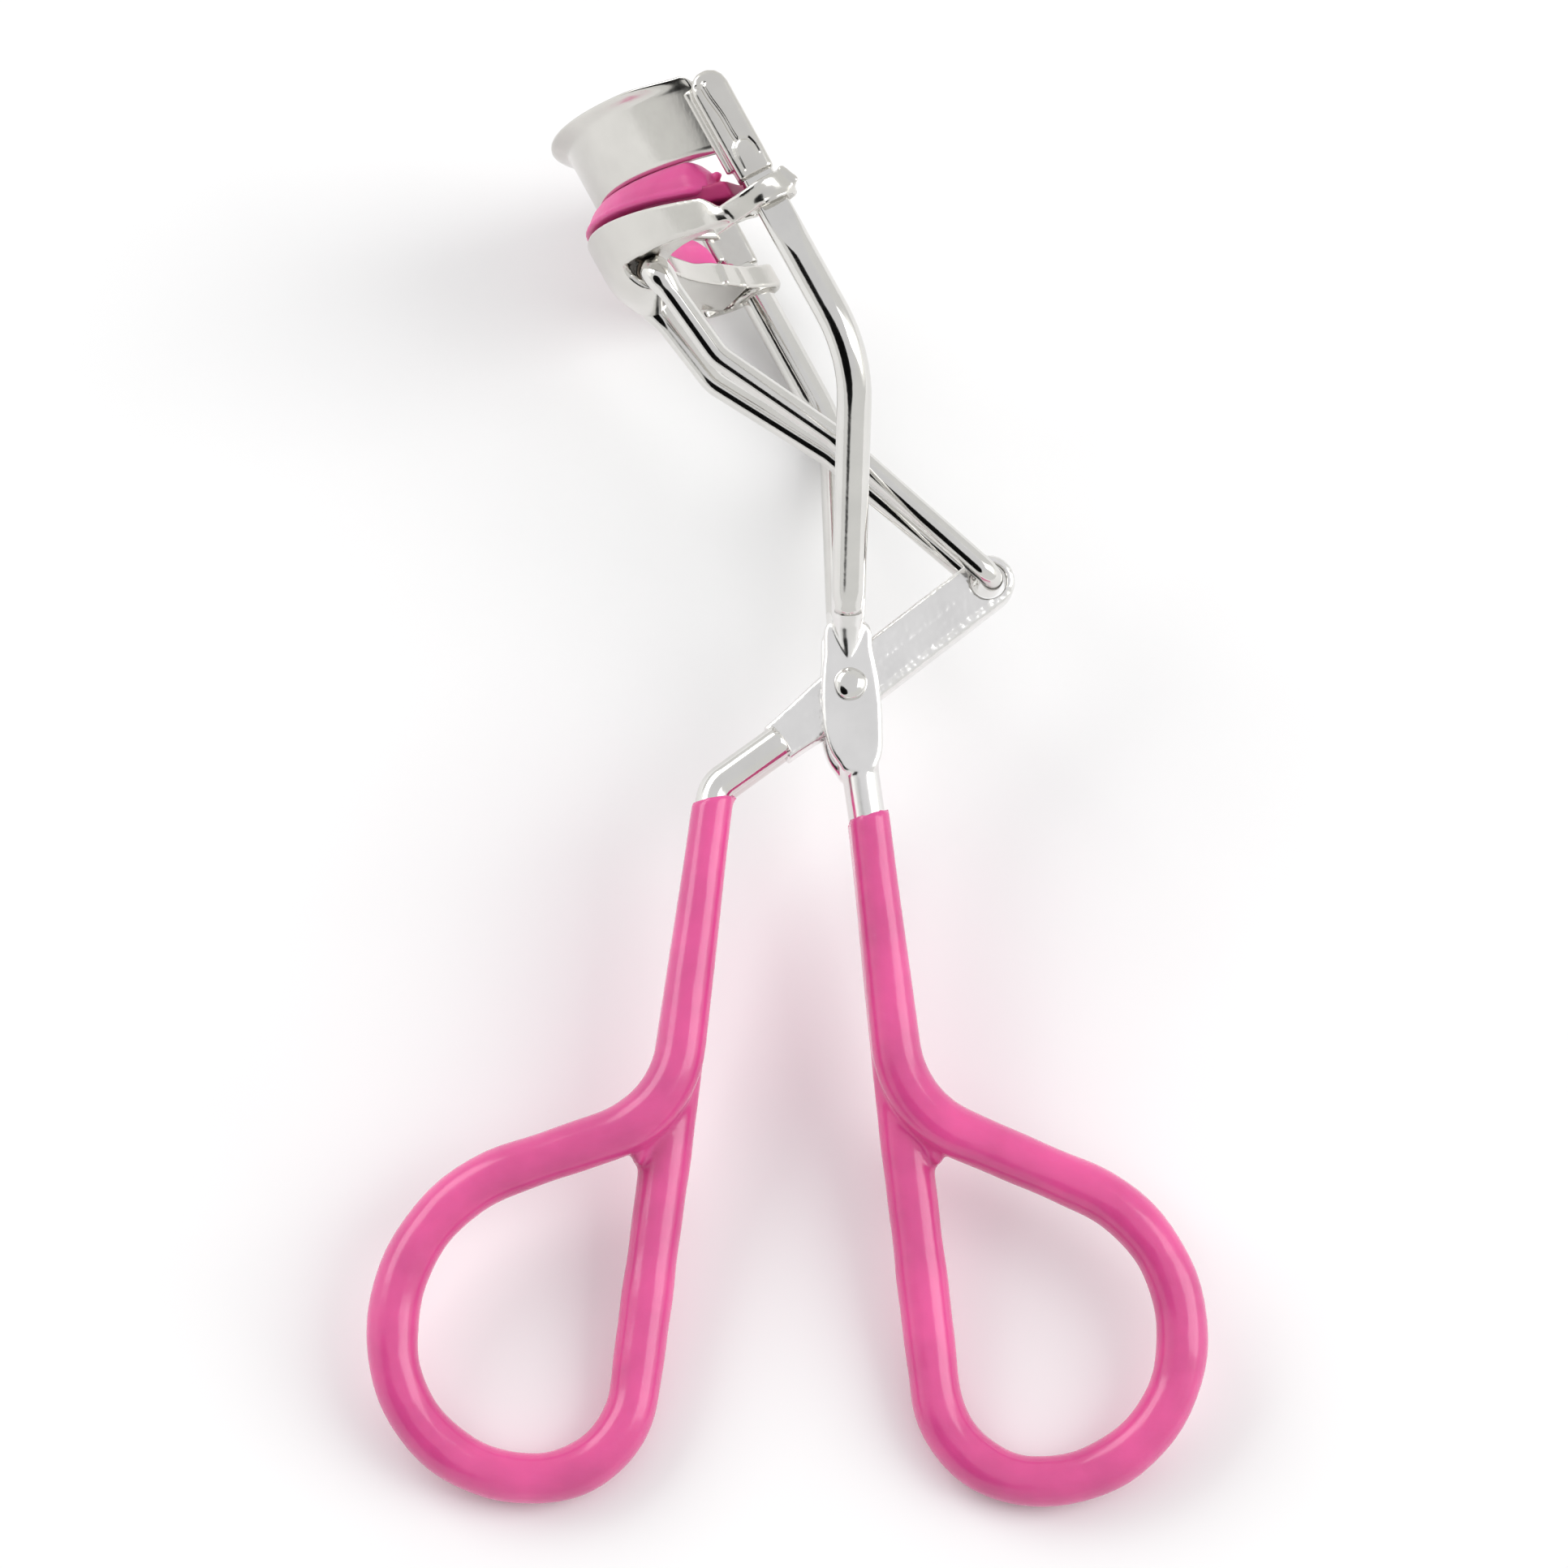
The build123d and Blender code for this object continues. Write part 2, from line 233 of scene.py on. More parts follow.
def place_object(name, mesh, body, material, nodes=()):
    mesh.polygons.foreach_set("use_smooth", [True] * len(mesh.polygons))
    mesh.materials.clear()
    mesh.materials.append(material)
    obj = bpy.data.objects.new(name, mesh)
    bpy.context.scene.collection.objects.link(obj)
    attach(obj, body)
    if nodes:
        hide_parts(*nodes)
    return obj


def join_shells(shells):
    verts, faces, base = [], [], 0
    for v, f in shells:
        verts.append(np.asarray(v, float))
        faces += [tuple(int(k) + base for k in face) for face in f]
        base += len(v)
    return np.concatenate(verts), faces


def scratch_mesh(shells):
    verts, faces = join_shells(shells)
    mesh = bpy.data.meshes.new("scratch")
    mesh.from_pydata(verts.tolist(), [], faces)
    tidy_normals(mesh)
    obj = bpy.data.objects.new("scratch", mesh)
    bpy.context.scene.collection.objects.link(obj)
    return obj


def fused(shells, voxel, rounds=6, cutters=(), factor=0.5):
    """Melts closed shells into one skin, less the cutters, and rounds its edges a little."""
    obj = scratch_mesh(shells)
    extra = []
    remesh = obj.modifiers.new("melt", "REMESH")
    remesh.mode = "VOXEL"
    remesh.voxel_size = voxel
    if cutters:
        for cutter in cutters:
            blade = scratch_mesh([cutter])
            extra.append(blade)
            cut = obj.modifiers.new("cut", "BOOLEAN")
            cut.operation = "DIFFERENCE"
            cut.solver = "MANIFOLD"
            cut.object = blade
        again = obj.modifiers.new("melt_again", "REMESH")
        again.mode = "VOXEL"
        again.voxel_size = voxel
    soften = obj.modifiers.new("soften", "SMOOTH")
    soften.factor = factor
    soften.iterations = rounds
    graph = bpy.context.evaluated_depsgraph_get()
    result = obj.evaluated_get(graph).to_mesh()
    verts = np.zeros(len(result.vertices) * 3)
    result.vertices.foreach_get("co", verts)
    faces = [tuple(p.vertices) for p in result.polygons]
    obj.evaluated_get(graph).to_mesh_clear()
    for used in [obj] + extra:
        bpy.data.objects.remove(used)
    return verts.reshape(-1, 3), faces


# ---------------------------------------------------------------- materials


class Nodes:
    """Small helper that adds nodes to one material."""

    def __init__(self, name):
        self.material = bpy.data.materials.new(name)
        self.material.use_nodes = True
        self.tree = self.material.node_tree
        self.shader = self.tree.nodes["Principled BSDF"]
        self.coords = self.tree.nodes.new("ShaderNodeTexCoord").outputs["Object"]

    def link(self, a, b):
        self.tree.links.new(a, b)

    def noise(self, scale, detail=3.0, rough=0.5, stretch=None):
        node = self.tree.nodes.new("ShaderNodeTexNoise")
        node.inputs["Scale"].default_value = scale
        node.inputs["Detail"].default_value = detail
        node.inputs["Roughness"].default_value = rough
        source = self.coords
        if stretch:
            mapping = self.tree.nodes.new("ShaderNodeMapping")
            mapping.inputs["Scale"].default_value = stretch
            self.link(source, mapping.inputs["Vector"])
            source = mapping.outputs["Vector"]
        self.link(source, node.inputs["Vector"])
        return node.outputs["Fac"]

    def cells(self, scale):
        node = self.tree.nodes.new("ShaderNodeTexVoronoi")
        node.feature = "SMOOTH_F1"
        node.inputs["Scale"].default_value = scale
        self.link(self.coords, node.inputs["Vector"])
        return node.outputs["Distance"]

    def ramp(self, source, stops):
        node = self.tree.nodes.new("ShaderNodeValToRGB")
        elements = node.color_ramp.elements
        while len(elements) < len(stops):
            elements.new(0.5)
        for element, (position, colour) in zip(elements, stops):
            element.position = position
            element.color = (*colour, 1) if len(colour) == 3 else colour
        self.link(source, node.inputs["Fac"])
        return node.outputs["Color"]

    def grey(self, source, low, high):
        node = self.tree.nodes.new("ShaderNodeMapRange")
        node.inputs["To Min"].default_value = low
        node.inputs["To Max"].default_value = high
        self.link(source, node.inputs["Value"])
        return node.outputs["Result"]

    def bump(self, heights, strengths, distance):
        normal = None
        for height, strength in zip(heights, strengths):
            node = self.tree.nodes.new("ShaderNodeBump")
            node.inputs["Strength"].default_value = strength
            node.inputs["Distance"].default_value = distance
            self.link(height, node.inputs["Height"])
            if normal is not None:
                self.link(normal, node.inputs["Normal"])
            normal = node.outputs["Normal"]
        self.link(normal, self.shader.inputs["Normal"])


def nickel(name, tint, rough, peel=0.0, cell_scale=1800):
    """Bright nickel plate with faint cloudiness, hairlines and, where asked, a hammered surface."""
    n = Nodes(name)
    cloud = n.noise(240, 4, 0.6)
    low = tuple(c * 0.9 for c in tint)
    n.link(n.ramp(cloud, [(0.3, low), (0.72, tint)]), n.shader.inputs["Base Color"])
    n.shader.inputs["Metallic"].default_value = 1.0
    n.link(n.grey(n.noise(900, 3, 0.6), rough * 0.6, rough * 1.5), n.shader.inputs["Roughness"])
    hairline = n.noise(2600, 2, 0.5, (1.0, 0.12, 1.0))
    heights = [n.noise(420, 2, 0.5), hairline]
    strengths = [0.035, 0.02]
    if peel:
        heights.append(n.cells(cell_scale))
        strengths.append(peel)
    n.bump(heights, strengths, 0.0002)
    return n.material


def soft_plastic(name, dark, light, rough, coat, subsurface):
    """Glossy, slightly see-through pink with uneven depth of colour."""
    n = Nodes(name)
    cloud = n.noise(150, 3, 0.55)
    n.link(n.ramp(cloud, [(0.32, dark), (0.7, light)]), n.shader.inputs["Base Color"])
    n.link(n.grey(n.noise(700, 3, 0.6), rough * 0.75, rough * 1.3), n.shader.inputs["Roughness"])
    n.shader.inputs["Coat Weight"].default_value = coat
    n.shader.inputs["Coat Roughness"].default_value = 0.12
    n.shader.inputs["Subsurface Weight"].default_value = subsurface
    n.shader.inputs["Subsurface Radius"].default_value = (1.0, 0.35, 0.5)
    n.shader.inputs["Subsurface Scale"].default_value = 0.0012
    n.bump([n.noise(330, 2, 0.5), n.noise(2200, 2, 0.5)], [0.12, 0.04], 0.0003)
    return n.material


wire_metal = nickel("nickel_wire_finish", (0.77, 0.76, 0.735), 0.09)
sheet_metal = nickel("nickel_sheet_finish", (0.72, 0.705, 0.67), 0.17)
plate_metal = nickel("nickel_plate_finish", (0.88, 0.87, 0.855), 0.20)
bar_metal = nickel("nickel_hammered_finish", (0.88, 0.87, 0.855), 0.21, 0.2, 2600)
# Near-black nickel for the hinge barrel: painted shade, standing for the barrel's outer face lying in shadow
# under the tongue.
shade_painted_metal = nickel("nickel_painted_shade_finish", (0.17, 0.14, 0.115), 0.22)
vinyl = soft_plastic("pink_vinyl_finish", (0.60, 0.066, 0.245), (0.78, 0.09, 0.32), 0.22, 0.35, 0.25)
silicone = soft_plastic("pink_silicone_finish", (0.62, 0.058, 0.25), (0.76, 0.08, 0.32), 0.42, 0.05, 0.35)
# Darker pink for the pad's stem: painted shade, standing for the stem lying in shadow under the pad's
# overhanging head.
shade_painted_stem_silicone = soft_plastic(
    "pink_silicone_painted_shade_stem_finish", (0.36, 0.01, 0.11), (0.46, 0.02, 0.15), 0.45, 0.0, 0.3
)


# ---------------------------------------------------------------- frame wire


def mirrored(shell):
    verts, faces = shell
    return np.asarray(verts) * (1, 1, -1), [tuple(reversed(f)) for f in faces]


def rail_path():
    bend = (-0.2, 21.8, RAIL_GAP)
    top = head_points(0.0, RAIL_GAP, 12.6)
    return bent_path([(-0.2, 5.3, 3.7), bend, top], [9.0], 0.4)


def rail_shell():
    """One rail: round wire with a flat filed on its outer face below the collar."""
    path = rail_path()
    along_rails = np.array([-math.sin(RAIL_ANGLE), math.cos(RAIL_ANGLE), 0])
    origin = head_points(0.0, 0.0, 0.0)
    height = (path - origin) @ along_rails
    circle = round_outline(WIRE, 56)

    def outline(i):
        ring = circle.copy()
        depth = 0.5 * smoothstep(height[i], 5.4, 9.0) if path[i][1] > 26 else 0.0
        ring[:, 1] = np.minimum(ring[:, 1], WIRE - depth)
        return ring * (0.9 + 0.1 * smoothstep(path[i][1], 5.4, 6.8))

    return sweep(path, outline, (0, 0, 1), (0.0, 0.0))


def plate_outline():
    """Oval of the stamped pivot plate."""
    right = [
        (1.2, 4.6), (1.6, 2.6), (2.05, 0.4), (2.3, -1.6),
        (2.35, -3.2), (2.35, -4.7), (2.05, -5.8), (1.5, -6.5),
    ]
    left = [
        (-0.3, -6.5), (-0.8, -5.9), (-1.45, -4.9), (-1.9, -3.3),
        (-2.05, -1.6), (-2.05, 0.4), (-1.9, 2.2), (-1.6, 4.6),
    ]
    return resampled(right + left, 90)


def curve_point(a, b, c, d, t):
    """Point at share t of the span from b to c, on a smooth curve through all four."""
    return 0.5 * (2 * b + (c - a) * t + (2 * a - 5 * b + 4 * c - d) * t**2 + (3 * b - a - 3 * c + d) * t**3)


def resampled(corners, count):
    """Evenly spaced points on a smooth closed curve through the corners."""
    p = np.array(corners, float)
    n = len(p)
    fine = []
    for i in range(n):
        a, b, c, d = p[i - 1], p[i], p[(i + 1) % n], p[(i + 2) % n]
        for t in np.linspace(0, 1, 12, endpoint=False):
            fine.append(curve_point(a, b, c, d, t))
    fine = np.array(fine)
    closed = np.vstack([fine, fine[:1]])
    lengths = np.concatenate([[0], np.cumsum(np.linalg.norm(np.diff(closed, axis=0), axis=1))])
    wanted = np.linspace(0, lengths[-1], count, endpoint=False)
    return np.stack([np.interp(wanted, lengths, closed[:, k]) for k in (0, 1)], -1)


def plate_shell():
    outline = plate_outline()
    middle = np.array([0.05, -0.7])
    rings = []
    for inset, z in ((0.22, 1.5), (0.0, 1.66), (0.0, 2.55), (0.1, 2.74), (0.3, 2.82)):
        scale = 1 - inset / 2.2
        ring = middle + (outline - middle) * (scale, 1 - inset / 5)
        rings.append(np.column_stack([ring, np.full(len(ring), z)]))
    return loft(rings)


def crown_shell():
    """The wire's rounded crown, which runs down on to the plate and ends in a point at the rivet."""
    rings = []
    for y, half, centre_z, rise in (
        (6.6, 1.25, 4.55, 1.25), (5.6, 1.25, 3.9, 1.25), (4.8, 1.2, 3.3, 1.2), (4.0, 1.02, 2.75, 1.05),
        (3.2, 0.78, 2.6, 0.72), (2.4, 0.45, 2.6, 0.42), (1.7, 0.12, 2.6, 0.2),
    ):
        a = np.linspace(0, 2 * math.pi, 28, endpoint=False)
        x = -0.2 + half * np.cos(a) + 0.08 * (6.6 - y) / 5
        z = centre_z + rise * np.sin(a)
        rings.append(np.stack([x, np.full(28, y), z], -1))
    return loft(rings)


def neck_shell():
    """Wire from the pivot plate down to where the grip hides it."""
    end_y = -13.0
    slope = (RIGHT_CORNERS[0][0] - RIGHT_NECK[0]) / (RIGHT_NECK[1] - RIGHT_CORNERS[0][1])
    end_x = RIGHT_NECK[0] + slope * (RIGHT_NECK[1] - end_y)
    bend = (RIGHT_NECK[0] - 0.1, -5.4, 1.6)
    path = bent_path([(0.35, -3.0, 2.0), bend, (end_x, end_y, LEG_GAP)], [4.0], 0.3)

    def outline(i):
        t = smoothstep(-path[i][1], 4.6, 6.6)
        return round_outline(1.0, 36) * (1.45 - 0.2 * t, 0.75 + 0.5 * t)

    return sweep(path, outline, (0, 0, 1))


def make_frame():
    near = [plate_shell(), crown_shell(), neck_shell()]
    hub = fused(near + [mirrored(s) for s in near], 0.11, 5)
    make_object("frame_pivot_plates", *hub, "frame", plate_metal, "nickel_wire", ["frame_wire"])
    rail = rail_shell()
    make_object("near_rail", *rail, "frame", wire_metal, "nickel_wire", ["frame_wire"])
    make_object("far_rail", *mirrored(rail), "frame", wire_metal, "nickel_wire", ["frame_wire"])


# ---------------------------------------------------------------- lever


def bar_axes(along, across):
    c, s = math.cos(BAR_ANGLE), math.sin(BAR_ANGLE)
    return np.stack([along * c - across * s, along * s + across * c], -1)


def bar_half_width(u):
    return 1.52 + (1.97 - 1.52) * smoothstep(u, -6.6, -0.5)


def make_bar():
    """Flattened bar: chamfered edges, a step at the legs and a rounded end with the pusher's hole."""
    stations = np.linspace(-6.7, HOLE_DISTANCE, 70)
    side = [(u, bar_half_width(u)) for u in stations]
    nose = []
    for a in np.radians(np.linspace(84, -84, 22)):
        nose.append((HOLE_DISTANCE + 1.97 * math.cos(a), 1.97 * math.sin(a)))
    outline = np.array(side + nose + [(u, -w) for u, w in side[::-1]])
    shells = []
    for low, high, inset in ((-1.4, 1.4, 0.16), (-1.2, 1.2, 0.0)):
        ring = outline.copy()
        ring[:, 1] *= (1.95 - inset) / 1.95
        ring[:, 0] = np.where(ring[:, 0] > HOLE_DISTANCE, ring[:, 0] - inset * 0.8, ring[:, 0])
        shells.append(slab(bar_axes(ring[:, 0], ring[:, 1]), low, high))
    hole = slab(bar_axes(HOLE_DISTANCE, 0.0) + round_outline(1.33, 48), -4, 4)
    bore = slab(round_outline(0.84, 32), -4, 4)
    verts, faces = fused(shells, 0.11, 5, [hole, bore])
    return hammered(verts), faces


def hammered(verts):
    """Small uneven waves on the bar's faces, as the press leaves them."""
    c, s = math.cos(BAR_ANGLE), math.sin(BAR_ANGLE)
    u = verts[:, 0] * c + verts[:, 1] * s
    v = -verts[:, 0] * s + verts[:, 1] * c
    wave = np.sin(u * 3.1 + 1.3 * np.sin(v * 2.3)) * np.sin(v * 3.7 + 1.1 * np.sin(u * 1.7))
    wave += 0.6 * np.sin(u * 6.3 + v * 4.1 + 2) * np.sin(v * 7.1 - u * 2.9)
    groove = np.exp(-((v / 0.17) ** 2)) * smoothstep(u, 2, 4) * (1 - smoothstep(u, 9, 11))
    strip = smoothstep(-v, 1.2, 1.62) * smoothstep(u, 0.5, 1.5)
    face = smoothstep(np.abs(verts[:, 2]), 0.8, 1.3)
    out = verts.copy()
    out[:, 2] -= np.sign(verts[:, 2]) * face * (0.008 + 0.005 * wave + 0.04 * groove + 0.11 * strip)
    return out


def lever_leg():
    start = bar_axes(-6.35, 0.0)
    slope = (LEFT_CORNERS[0][0] - LEFT_NECK[0]) / (LEFT_NECK[1] - LEFT_CORNERS[0][1])
    end = (LEFT_NECK[0] + slope * 6.0, LEFT_NECK[1] - 6.0)
    points = [(*start, LEG_GAP), (*LEFT_NECK, LEG_GAP), (*end, LEG_GAP)]
    return round_wire(points, [1.9], WIRE - 0.01, (0.25, 0.0), (0, 0, 1), 0.3)


def make_lever():
    leg = lever_leg()
    make_object("lever_bar", *make_bar(), "lever", bar_metal, "nickel_wire", ["lever_wire"])
    make_object("lever_near_leg", *leg, "lever", wire_metal, "nickel_wire", ["lever_wire"])
    make_object("lever_far_leg", *mirrored(leg), "lever", wire_metal, "nickel_wire", ["lever_wire"])


# ---------------------------------------------------------------- vinyl grips


def grip_shells(neck, corners, radii, top, leg_slope, loop_radius):
    """The coated wire round the loop, and the coating that wraps the two legs above it."""
    start = (neck[0] + leg_slope * (neck[1] - top), top)
    points = [(*start, LEG_GAP)]
    for corner, depth in zip(corners, LOOP_DEPTHS):
        points.append((*corner, depth))
    points.append((*start, -LEG_GAP))
    path = bent_path(points, radii, 0.6)
    lengths = np.concatenate([[0], np.cumsum(np.linalg.norm(np.diff(path, axis=0), axis=1))])
    total = lengths[-1]

    def radius(i):
        s = lengths[i]
        from_top = min(s, total - s)
        thick = 1.5 + (loop_radius - 1.5) * smoothstep(from_top, 0.0, 24.0)
        wave = 0.03 * math.sin(s * 0.55) + 0.02 * math.sin(s * 1.27 + 1.0)
        return thick + wave * smoothstep(from_top, 18, 30)

    wire = sweep(path, lambda i: round_outline(radius(i), 32), (0, 0, 1), (0.25, 0.25))
    rings = []
    for y in np.linspace(top, corners[0][1] + 1.0, 60):
        x = start[0] + leg_slope * (top - y)
        half = 1.48 + 0.28 * smoothstep(top - y, 0.0, 16.0)
        half -= 0.6 * smoothstep(corners[0][1] - y, -4.5, -1.0)
        a = np.linspace(0, 2 * math.pi, 36, endpoint=False)
        z = 0.95 * half * np.sin(a) + np.sign(np.sin(a)) * LEG_GAP * np.abs(np.sin(a)) ** 0.35
        rings.append(np.stack([x + half * np.cos(a), np.full(36, y), z], -1))
    return [wire, loft(rings)]


def crotch_web(x, y, height, spread, tilt):
    """Thin fillet of vinyl where the leg parts from the loop."""
    rings = []
    for t in np.linspace(0, 1, 8):
        half = spread * (1 - t) ** 0.8 + 0.15
        a = np.linspace(0, 2 * math.pi, 20, endpoint=False)
        across = x + tilt * t * height + half * np.cos(a)
        deep = 1.55 * (1 - 0.4 * t) * np.sin(a)
        rings.append(np.stack([across, np.full(20, y - t * height), deep], -1))
    return loft(rings)


def grip_top_cut(x, y, lean):
    """Wedge that trims the coating's upper end on a slant."""
    size = 6.0
    corners = np.array([(-size, -size * lean), (size, size * lean), (size, 9.0), (-size, 9.0)]) + (x, y)
    return slab(corners, -6, 6)


def make_grips():
    right_slope = (RIGHT_CORNERS[0][0] - RIGHT_NECK[0]) / (RIGHT_NECK[1] - RIGHT_CORNERS[0][1])
    right = grip_shells(RIGHT_NECK, RIGHT_CORNERS, RIGHT_RADII, -9.0, right_slope, 1.86)
    right.append(crotch_web(5.7, -31.3, 3.5, 1.9, 0.2))
    cut = grip_top_cut(1.4, -9.35, 0.25)
    make_object("right_grip_skin", *fused(right, 0.2, 8, [cut]), "frame", vinyl, "pink_vinyl", ["right_grip"])
    left_slope = (LEFT_CORNERS[0][0] - LEFT_NECK[0]) / (LEFT_NECK[1] - LEFT_CORNERS[0][1])
    left = grip_shells(LEFT_NECK, LEFT_CORNERS, LEFT_RADII, -7.7, left_slope, 1.86)
    left.append(crotch_web(-14.6, -31.4, 3.5, 1.9, -0.2))
    flap = bent_path([(-9.4, -8.7, 1.3), (-8.85, -8.3, 1.2), (-8.4, -8.15, 0.9)], [0.6], 0.2)
    left.append(sweep(flap, lambda i: round_outline(0.32, 16), None, (0.2, 0.2)))
    cut = grip_top_cut(-9.95, -8.3, 0.2)
    make_object("left_grip_skin", *fused(left, 0.2, 8, [cut]), "lever", vinyl, "pink_vinyl", ["left_grip"])


# ---------------------------------------------------------------- jaws


def swept_profile(half_angle, profile, steps=90):
    """Shell of a closed profile swept round the jaws' axis. profile(angle) gives radius and height."""
    rings = []
    for angle in np.radians(np.linspace(-half_angle, half_angle, steps)):
        points = profile(angle)
        rings.append(head_points(*points.T))
    return loft(rings)


def upper_profile(angle):
    """Cross-section of the upper jaw: a sheet whose upper edge flares out in a rounded lip."""
    outer, sheet = 16.3, 0.75
    line = []
    for v in list(np.linspace(0, 0.8, 9)) + list(np.linspace(0.84, 1, 9)):
        flare = 0.95 * smoothstep(v, 0.84, 1.0) ** 1.2 - 0.08 * smoothstep(v, 0.98, 1.0)
        line.append((v, outer + flare))
    ends = smoothstep(math.degrees(abs(angle)), 44, 59)
    corner = 0.07 * smoothstep(math.degrees(abs(angle)), 59.3, 61.4) ** 2
    out = []
    for v, radius in line:
        out.append(wall_point(angle, radius - 0.8 * ends * (radius - outer), v * (1 - 0.02 * ends - corner)))
    thick = sheet * 0.8
    for v, radius in line[::-1]:
        inner = radius - thick - 0.1 * (1 - v)
        top_edge = 0.015 * (v > 0.95)
        height = v * (1 - 0.02 * ends - corner) - top_edge
        out.append(wall_point(angle, inner - 0.8 * ends * (radius - outer), height))
    return np.array(out)


def wall_point(angle, radius, v):
    front = JAW_CENTRE + radius * math.cos(angle)
    low = 14.9 + JAW_SLOPE * front
    high = 21.3 + LIP_SLOPE * front
    return (front, radius * math.sin(angle), low + (high - low) * v)


def sleeve_shells():
    """Folded sleeve round the rail's tip: rounded top, straight sides."""
    rings = []
    for s, half_f, half_z in (
        (12.35, 1.28, 1.0), (12.5, 1.33, 1.1), (14.0, 1.36, 1.13), (19.4, 1.37, 1.14),
        (20.0, 1.25, 1.12), (20.45, 0.95, 1.08), (20.75, 0.5, 0.95),
    ):
        ring = rounded_box(half_f, half_z, min(0.42, half_f * 0.8), 5)
        rings.append(head_points(ring[:, 0], RAIL_GAP + ring[:, 1], s))
    return [loft(rings)]


def head_tube(points, radius, caps=(0.1, 0.1)):
    path = np.array([head_points(*p) for p in points])
    return sweep(path, lambda i: round_outline(radius, 16), None, caps)


def sleeve_cutters():
    """Seam slit, the crescent nick above it and the outline of the pressed tongue below it."""
    face = RAIL_GAP + 1.16
    slit = []
    for t in np.linspace(0, 1, 14):
        slit.append((0.52 - 0.34 * t + 0.04 * math.sin(9 * t), face, 19.7 - 4.7 * t))
    crescent = []
    for a in np.radians(np.linspace(200, 340, 9)):
        crescent.append((0.62 + 0.4 * math.cos(a), face, 20.05 + 0.28 * math.sin(a)))
    tongue = []
    for f, s in (
        (0.75, 12.9), (0.72, 14.0), (0.6, 14.7), (0.25, 15.05),
        (-0.2, 15.1), (-0.6, 14.9), (-0.78, 14.3), (-0.8, 13.6),
    ):
        tongue.append((f, face, s))
    return [head_tube(slit, 0.19), head_tube(crescent, 0.15), head_tube(tongue, 0.15)]


def make_upper_jaw():
    sheet = swept_profile(61.4, upper_profile, 130)
    make_object("upper_jaw_sheet", *sheet, "frame", sheet_metal, "nickel_sheet", ["upper_jaw"])
    fold = []
    for s in np.linspace(13.6, 20.2, 12):
        fold.append((1.32, RAIL_GAP - 0.85, s))
    shells = sleeve_shells() + [head_tube(fold, 0.42)]
    sleeve = fused(shells, 0.07, 4, sleeve_cutters())
    make_object("near_sleeve", *sleeve, "frame", sheet_metal, "nickel_sheet", ["upper_jaw"])
    make_object("far_sleeve", *mirrored(sleeve), "frame", sheet_metal, "nickel_sheet", ["upper_jaw"])


def channel_profile(angle):
    """Cross-section of the lower jaw: outer wall, sloping web and inner wall."""
    points = []

    def at(radius, height, slope=JAW_SLOPE):
        front = JAW_CENTRE + radius * math.cos(angle)
        points.append((front, radius * math.sin(angle), height + slope * front))

    degrees = math.degrees(abs(angle))
    drop = 1.15 * smoothstep(degrees, 51, 56.5)
    lift = 0.5 + 0.5 * smoothstep(degrees, 36, 48)
    bulge = 0.3 * math.exp(-(((degrees - 53.5) / 2.4) ** 2))
    at(13.6, 10.1)
    at(16.0, 9.45)
    at(18.0, 8.95)
    at(18.28 + bulge, 9.15)
    at(18.3 + bulge, 9.8)
    at(18.3, 10.55 - drop, WALL_TOP_SLOPE)
    at(18.15, 10.75 - drop, WALL_TOP_SLOPE)
    at(17.75, 10.75 - drop, WALL_TOP_SLOPE)
    at(17.6, 10.55 - drop, WALL_TOP_SLOPE)
    at(17.6, 9.9)
    at(16.0, 10.3)
    at(14.3, 10.8)
    at(14.3, 10.6 + lift, WALL_TOP_SLOPE)
    at(14.15, 10.75 + lift, WALL_TOP_SLOPE)
    at(13.75, 10.75 + lift, WALL_TOP_SLOPE)
    at(13.6, 10.6 + lift, WALL_TOP_SLOPE)
    return np.array(points)


def band(points, height, thick, twist=(0.0, 0.0)):
    """Strip of sheet standing along the rails that follows (front, depth, middle height) points.

    twist lists how far it leans, in degrees, at even steps along the strip."""
    path = np.array([head_points(*p) for p in smooth_line(points, 40)])
    along_rails = (-math.sin(RAIL_ANGLE), math.cos(RAIL_ANGLE), 0)
    outline = rounded_box(thick / 2, height / 2, thick * 0.42, 5)

    def leaning(i):
        a = math.radians(np.interp(i / (len(path) - 1), np.linspace(0, 1, len(twist)), twist))
        return outline @ np.array([(math.cos(a), math.sin(a)), (-math.sin(a), math.cos(a))])

    return sweep(path, leaning, along_rails, (0.12, 0.12))


def smooth_line(points, count):
    """Points on a smooth open curve through the given ones."""
    p = np.array(points, float)
    p = np.vstack([2 * p[0] - p[1], p, 2 * p[-1] - p[-2]])
    out = []
    spans = len(p) - 3
    for q in np.linspace(0, spans, count):
        i = min(int(q), spans - 1)
        t = q - i
        a, b, c, d = p[i : i + 4]
        out.append(curve_point(a, b, c, d, t))
    return np.array(out)


def collar_shells():
    """Near ear: a band from the outer wall round the rail, ending in a small flared tab."""
    outer = [
        (4.3, 13.6, 10.9), (3.0, 15.0, 10.85), (1.7, 16.1, 10.8), (0.5, 16.62, 10.85), (-0.7, 16.55, 10.9),
        (-1.45, 16.1, 11.0), (-1.75, 15.9, 11.1), (-1.9, 16.3, 11.2),
    ]
    inner = [
        (2.2, 10.05, 11.85), (1.2, 11.2, 11.5), (0.2, 12.3, 11.15), (-0.9, 13.25, 10.9), (-1.7, 14.2, 10.85),
        (-1.75, 15.2, 10.9),
    ]
    ring = []
    for a in np.radians(np.linspace(0, 360, 37)):
        ring.append((1.65 * math.cos(a), RAIL_GAP + 1.65 * math.sin(a), 10.85))
    rolled = (0, -14, -30, -26, -4, 14, 6, -20)
    foot = []
    for a in np.radians(np.linspace(70, 200, 16)):
        foot.append((1.8 * math.cos(a), RAIL_GAP + 1.8 * math.sin(a), 10.0))
    strips = [band(outer, 1.75, 0.5, rolled), band(inner, 1.9, 0.55)]
    return strips + [band(ring, 1.5, 0.5), band(foot, 0.35, 0.4)]


